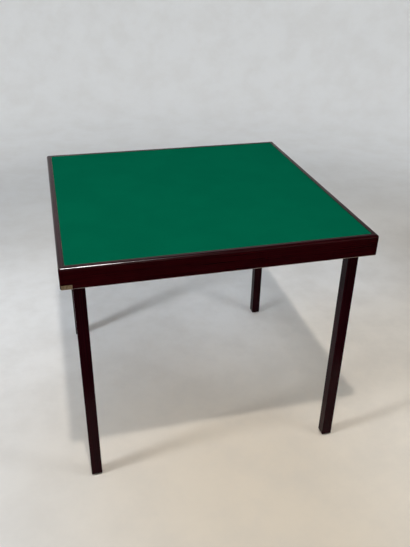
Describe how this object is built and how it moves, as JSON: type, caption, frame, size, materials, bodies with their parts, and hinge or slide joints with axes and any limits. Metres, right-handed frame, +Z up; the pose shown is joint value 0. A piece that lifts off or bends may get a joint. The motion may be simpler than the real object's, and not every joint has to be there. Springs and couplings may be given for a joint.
{
  "type": "folding card table",
  "caption": "Square folding card table with a baize top in a mitred stained wood frame; its square legs swing on bracket hinges and fold flat inside the frame.",
  "frame": {"origin": "on the floor under the centre of the top", "axes": "+Z up; the front rail, the one nearest in the picture, faces -Y; +X runs to the right along it"},
  "size_m": [0.812, 0.812, 0.71],
  "materials": {
    "stained_beech": "satin",
    "plywood": "matte",
    "plain_pine": "matte",
    "baize": "matte",
    "brass": "aged",
    "zinced_steel": "satin",
    "steel": "satin",
    "spring_steel": "blued",
    "dark_fibre": "matte"
  },
  "bodies": {
    "top": {"rail_front": "stained_beech", "rail_right": "stained_beech", "rail_back": "stained_beech", "rail_left": "stained_beech", "play_panel": "plywood", "baize": "baize", "stop_block_front_left": "plain_pine", "packing_block_front_left": "plain_pine", "stop_plate_front_left": "brass", "hinge_bracket_front_left": "zinced_steel", "pivot_pin_front_left": "steel", "backspring_front_left": "spring_steel", "stop_block_front_right": "plain_pine", "packing_block_front_right": "plain_pine", "stop_plate_front_right": "brass", "hinge_bracket_front_right": "zinced_steel", "pivot_pin_front_right": "steel", "backspring_front_right": "spring_steel", "stop_block_back_right": "plain_pine", "packing_block_back_right": "plain_pine", "stop_plate_back_right": "brass", "hinge_bracket_back_right": "zinced_steel", "pivot_pin_back_right": "steel", "backspring_back_right": "spring_steel", "stop_block_back_left": "plain_pine", "packing_block_back_left": "plain_pine", "stop_plate_back_left": "brass", "hinge_bracket_back_left": "zinced_steel", "pivot_pin_back_left": "steel", "backspring_back_left": "spring_steel", "spring_rivets": "steel", "bracket_screws": "steel", "plate_screws": "brass", "mitre_splines": "plain_pine"},
    "leg_front_left_body": {"leg_front_left": "stained_beech", "leg_bush_front_left": "brass", "glide_front_left": "dark_fibre"},
    "leg_front_right_body": {"leg_front_right": "stained_beech", "leg_bush_front_right": "brass", "glide_front_right": "dark_fibre"},
    "leg_back_right_body": {"leg_back_right": "stained_beech", "leg_bush_back_right": "brass", "glide_back_right": "dark_fibre"},
    "leg_back_left_body": {"leg_back_left": "stained_beech", "leg_bush_back_left": "brass", "glide_back_left": "dark_fibre"}
  },
  "joints": [
    {"name": "leg_fold_front_left", "type": "hinge", "parent": "top", "child": "leg_front_left_body", "pos_m": [-0.362, -0.3565, 0.675], "axis": [0, -1, 0], "range_deg": [0, 90], "deforming": ["backspring_front_left"]},
    {"name": "leg_fold_front_right", "type": "hinge", "parent": "top", "child": "leg_front_right_body", "pos_m": [0.3565, -0.362, 0.675], "axis": [1, 0, 0], "range_deg": [0, 90], "deforming": ["backspring_front_right"]},
    {"name": "leg_fold_back_right", "type": "hinge", "parent": "top", "child": "leg_back_right_body", "pos_m": [0.362, 0.3565, 0.675], "axis": [0, 1, 0], "range_deg": [0, 90], "deforming": ["backspring_back_right"]},
    {"name": "leg_fold_back_left", "type": "hinge", "parent": "top", "child": "leg_back_left_body", "pos_m": [-0.3565, 0.362, 0.675], "axis": [-1, 0, 0], "range_deg": [0, 90], "deforming": ["backspring_back_left"]}
  ]
}
